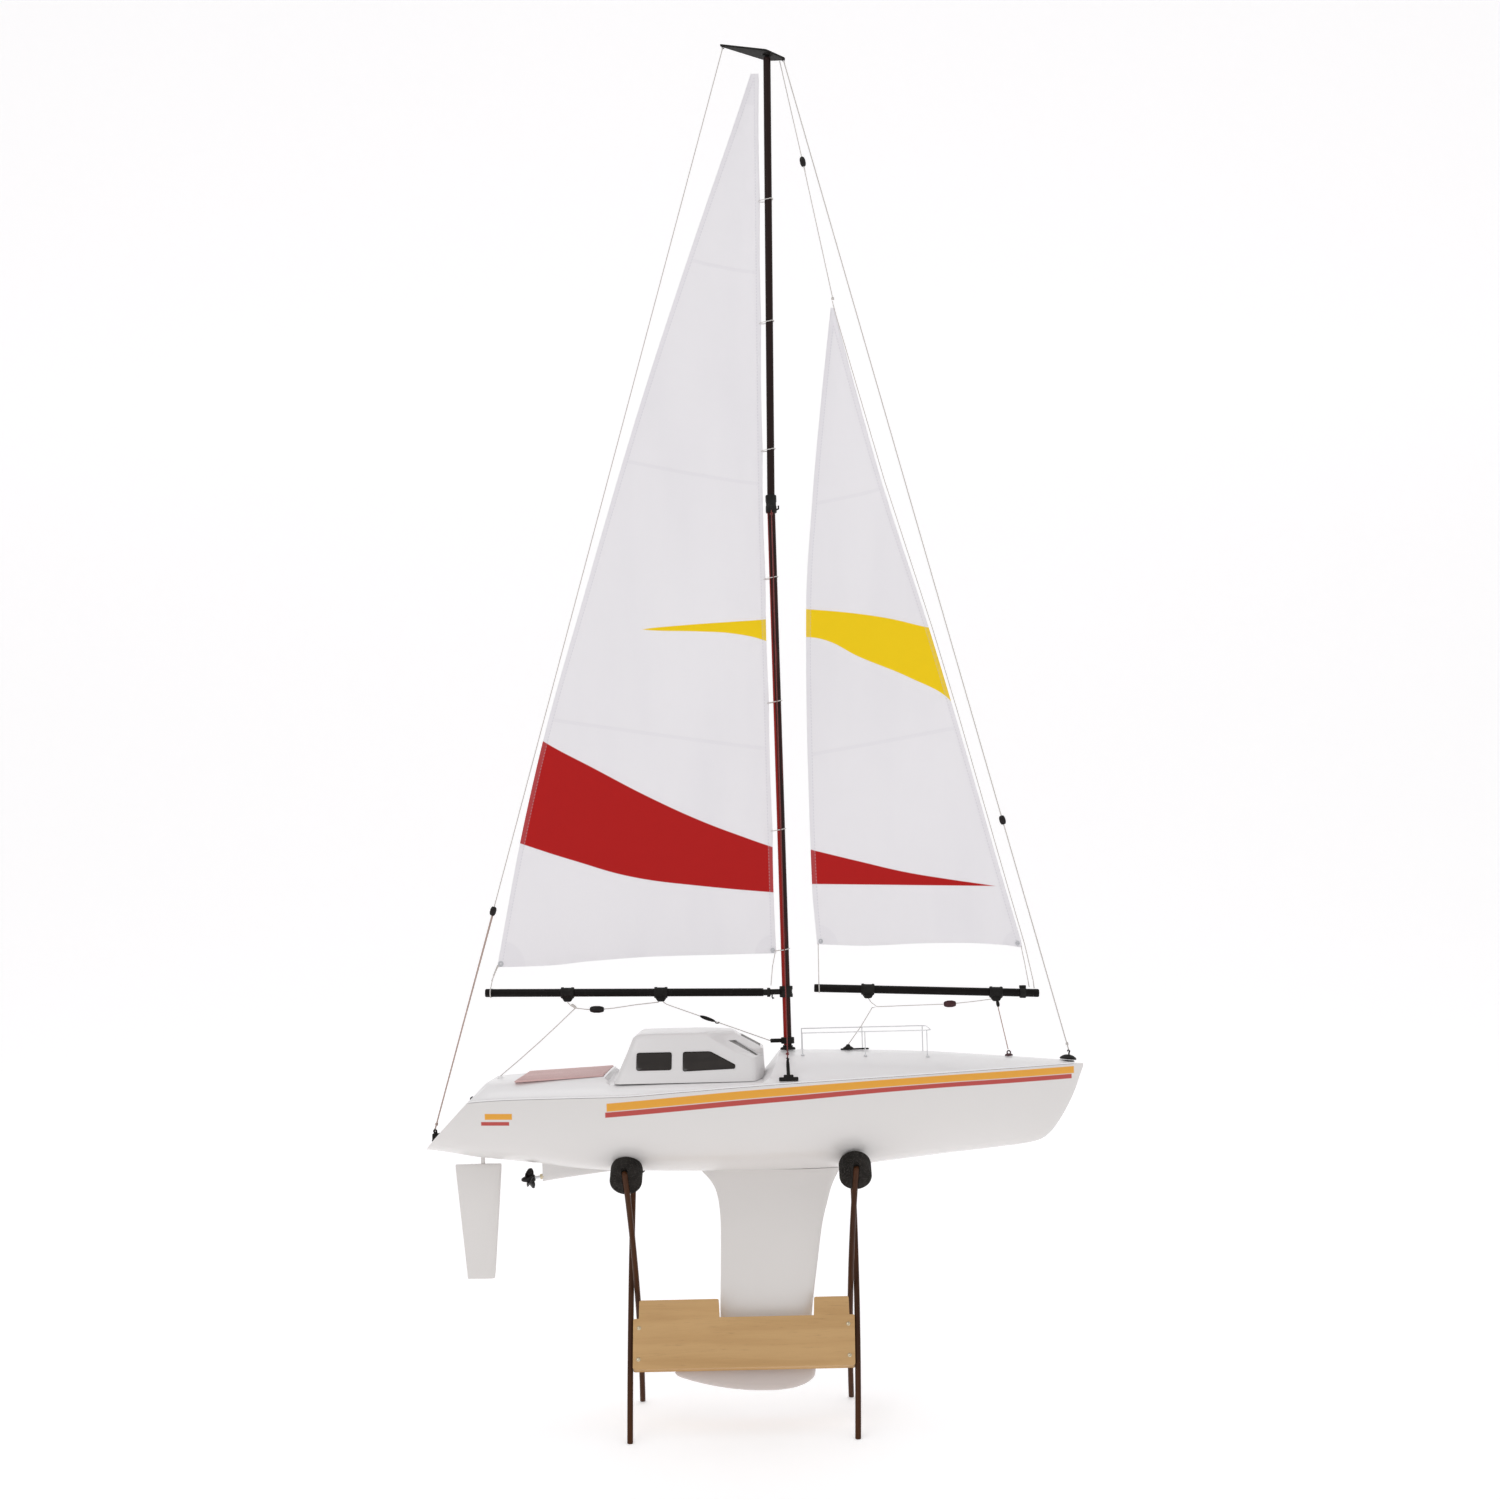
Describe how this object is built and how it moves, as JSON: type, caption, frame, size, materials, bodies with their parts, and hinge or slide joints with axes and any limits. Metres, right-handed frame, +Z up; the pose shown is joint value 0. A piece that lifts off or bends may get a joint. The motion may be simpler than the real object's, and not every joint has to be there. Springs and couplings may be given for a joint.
{
  "type": "radio-controlled model sailing yacht",
  "caption": "Model sailing yacht with fin keel and ballast bulb, sloop rig on swinging booms, removable cabin cover and auxiliary drive, on a crossed-dowel stand.",
  "frame": {"origin": "on the floor, under the middle of the hull's length and beam", "axes": "+X to the bow, +Y to port, +Z up"},
  "size_m": [0.646, 0.1772, 1.3866],
  "materials": {
    "dowel_wood": "stained dark, satin varnish",
    "black_foam": "closed-cell foam, matte",
    "board_wood": "pale, fine grain, bare",
    "hull_white": "moulded, gloss, with orange and red side stripes",
    "deck_white": "moulded, semi-gloss",
    "teak_panel": "brown-pink non-slip panel",
    "painted_lead": "cast metal, painted white",
    "brass": "drawn tube",
    "steel": "ground",
    "plywood": "thin plywood",
    "black_plastic": "moulded, fine grain",
    "blue_plastic": "moulded case",
    "green_wrap": "shrink wrap",
    "rail_wire": "thin bent wire, white",
    "dark_tube": "anodised dark brown-black",
    "pale_cord": "braided line",
    "red_cord": "braided line, dark red",
    "window_tint": "dark tinted liner",
    "sail_cloth": "light sailcloth with coloured panels"
  },
  "bodies": {
    "stand": {"leg_a_aft": "dowel_wood", "leg_a_fwd": "dowel_wood", "leg_b_aft": "dowel_wood", "leg_b_fwd": "dowel_wood", "pad_aft_port": "black_foam", "pad_fwd_port": "black_foam", "pad_aft_stbd": "black_foam", "pad_fwd_stbd": "black_foam", "stand_board": "board_wood"},
    "boat": {"hull_shell": "hull_white", "deck": "deck_white", "cockpit_panel": "teak_panel", "keel_fin": "hull_white", "ballast_bulb": "painted_lead", "stern_tube": "brass", "motor": "steel", "servo_tray": "plywood", "rudder_servo": "black_plastic", "sail_servo": "black_plastic", "receiver": "blue_plastic", "battery_pack": "green_wrap", "bow_plate": "black_plastic", "stern_plate": "black_plastic", "chainplate_stbd": "black_plastic", "chainplate_port": "black_plastic", "jib_deck_eye": "black_plastic", "sheet_fairlead": "black_plastic", "guard_rail": "rail_wire", "mast_step": "black_plastic", "mast_lower": "dark_tube", "mast_ferrule": "black_plastic", "mast_upper": "dark_tube", "masthead_crane": "black_plastic", "forestay": "pale_cord", "backstay": "pale_cord", "shroud_stbd": "red_cord", "shroud_port": "red_cord", "mainsheet": "pale_cord", "jib_sheet": "pale_cord"},
    "cabin": {"cabin_cover": "deck_white", "window_liner": "window_tint"},
    "main_rig": {"main_boom": "dark_tube", "gooseneck": "black_plastic", "boom_ring_aft": "black_plastic", "boom_ring_fwd": "black_plastic", "vang": "pale_cord", "vang_collar": "black_plastic", "mainsail": "sail_cloth"},
    "jib_rig": {"jib_boom": "dark_tube", "jib_ring_aft": "black_plastic", "jib_swivel": "black_plastic", "jib_sail": "sail_cloth", "jib_stay": "pale_cord"},
    "rudder": {"rudder_blade": "hull_white", "tiller_arm": "black_plastic"},
    "drive": {"propeller": "black_plastic", "prop_shaft": "steel"},
    "rudder_horn": {"rudder_horn": "black_plastic"},
    "rudder_pushrod": {"rudder_pushrod": "steel"},
    "sail_arm": {"sail_arm": "black_plastic"}
  },
  "joints": [
    {"name": "lift_off", "type": "slide", "parent": "stand", "child": "boat", "axis": [0, 0.342, 0.9397], "range_m": [0, 0.25]},
    {"name": "cover_lift", "type": "slide", "parent": "boat", "child": "cabin", "axis": [0, 0, 1], "range_m": [0, 0.02], "deforming": ["vang"]},
    {"name": "main_swing", "type": "hinge", "parent": "boat", "child": "main_rig", "pos_m": [0.0318, 0, 0.3619], "axis": [-0.0055, 0, 1], "range_deg": [-65, 65], "deforming": ["mainsheet"]},
    {"name": "jib_swing", "type": "hinge", "parent": "boat", "child": "jib_rig", "pos_m": [0.2502, 0, 0.349], "axis": [-0.1939, 0, 0.981], "range_deg": [-60, 60], "deforming": ["jib_sheet"]},
    {"name": "rudder_turn", "type": "hinge", "parent": "boat", "child": "rudder", "pos_m": [-0.2726, 0, 0.26], "axis": [0, 0, 1], "range_deg": [-35, 35]},
    {"name": "rudder_horn_turn", "type": "hinge", "parent": "boat", "child": "rudder_horn", "pos_m": [-0.14, 0, 0.297], "axis": [0, 0, 1], "range_deg": [-36, 36]},
    {"name": "pushrod_slide", "type": "slide", "parent": "boat", "child": "rudder_pushrod", "axis": [1, 0, 0], "range_m": [-0.0095, 0.0095]},
    {"name": "sail_arm_turn", "type": "hinge", "parent": "boat", "child": "sail_arm", "pos_m": [-0.028, 0, 0.297], "axis": [0, 0, 1], "range_deg": [-60, 60]},
    {"name": "drive_spin", "type": "hinge", "parent": "boat", "child": "drive", "pos_m": [-0.2253, 0, 0.237], "axis": [0.989, 0, 0.1478], "continuous": true}
  ],
  "couplings": [
    {"joint": "rudder_horn_turn", "follows": "rudder_turn", "ratio": 1},
    {"joint": "pushrod_slide", "follows": "rudder_turn", "m_per_rad": -0.0145}
  ]
}
